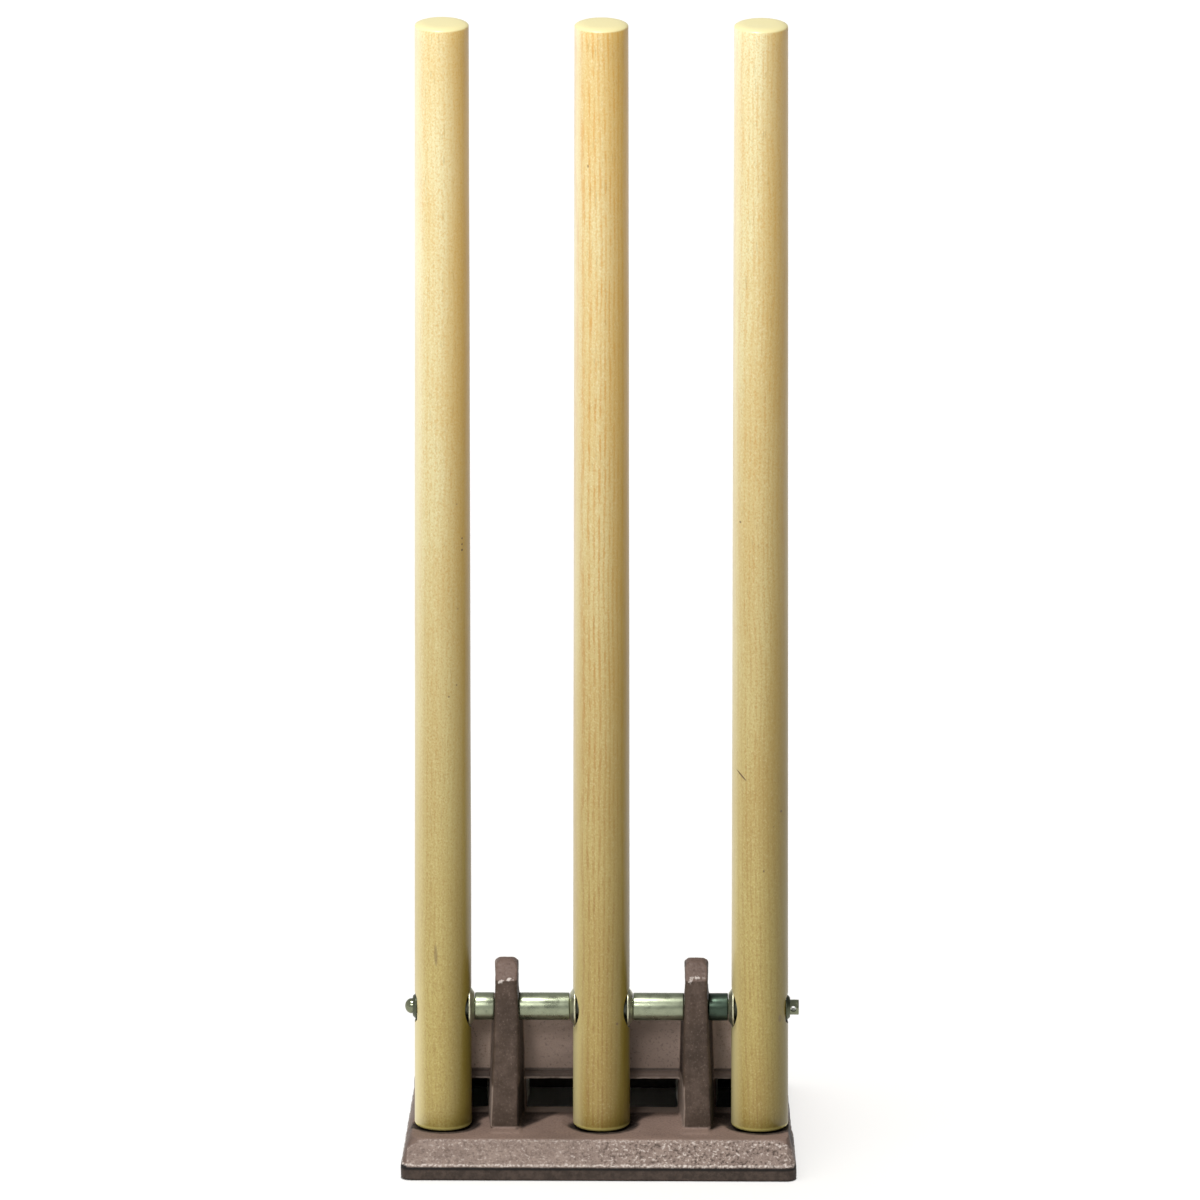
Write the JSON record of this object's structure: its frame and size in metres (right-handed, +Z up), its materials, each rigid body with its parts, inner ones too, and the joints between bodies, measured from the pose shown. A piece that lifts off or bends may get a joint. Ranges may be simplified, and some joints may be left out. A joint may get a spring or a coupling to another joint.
{
  "type": "cricket stumps",
  "caption": "Spring-back cricket stumps: wooden stumps that tip back on a steel axle across a heavy cast iron base and return by springs.",
  "frame": {"origin": "middle of the base's footprint, on the ground", "axes": "+X along the axle to the right, +Y to the back, where the stumps tip and the deck lies, +Z up along the stumps"},
  "size_m": [0.2456, 0.205, 0.731],
  "materials": {
    "painted_cast_iron": "brown painted sand casting, worn pale along its edges",
    "lacquered_wood": "pale straight-grained wood under clear lacquer",
    "zinc_plated_steel": "zinc plated, with a faint green and yellow cast",
    "spring_steel": "bright drawn wire, lightly oiled"
  },
  "bodies": {
    "base": {"base_casting": "painted_cast_iron", "axle_rod": "zinc_plated_steel", "spacer_tube_inner_left": "zinc_plated_steel", "spacer_tube_inner_right": "zinc_plated_steel", "spacer_tube_outer_left": "zinc_plated_steel", "spacer_tube_outer_right": "zinc_plated_steel", "cup_washer_inner_left": "zinc_plated_steel", "cup_washer_inner_right": "zinc_plated_steel", "cup_washer_outer_left": "zinc_plated_steel", "cup_washer_outer_right": "zinc_plated_steel", "end_washer_left": "zinc_plated_steel", "end_washer_right": "zinc_plated_steel", "return_spring_left": "spring_steel", "return_spring_middle": "spring_steel", "return_spring_right": "spring_steel", "spring_anchor_rod": "zinc_plated_steel"},
    "left_stump": {"stump_left": "lacquered_wood", "pivot_bush_left": "zinc_plated_steel", "screw_eye_left": "zinc_plated_steel"},
    "middle_stump": {"stump_middle": "lacquered_wood", "pivot_bush_middle": "zinc_plated_steel", "screw_eye_middle": "zinc_plated_steel"},
    "right_stump": {"stump_right": "lacquered_wood", "pivot_bush_right": "zinc_plated_steel", "screw_eye_right": "zinc_plated_steel"}
  },
  "joints": [
    {"name": "left_stump_tip", "type": "hinge", "parent": "base", "child": "left_stump", "pos_m": [-0.0984, -0.0475, 0.0965], "axis": [-1, 0, 0], "range_deg": [0, 60], "stiffness_Nm_per_rad": 3, "springref_deg": -20.05, "deforming": ["return_spring_left"]},
    {"name": "middle_stump_tip", "type": "hinge", "parent": "base", "child": "middle_stump", "pos_m": [0, -0.0475, 0.0965], "axis": [-1, 0, 0], "range_deg": [0, 60], "stiffness_Nm_per_rad": 3, "springref_deg": -20.05, "deforming": ["return_spring_middle"]},
    {"name": "right_stump_tip", "type": "hinge", "parent": "base", "child": "right_stump", "pos_m": [0.0984, -0.0475, 0.0965], "axis": [-1, 0, 0], "range_deg": [0, 60], "stiffness_Nm_per_rad": 3, "springref_deg": -20.05, "deforming": ["return_spring_right"]}
  ]
}
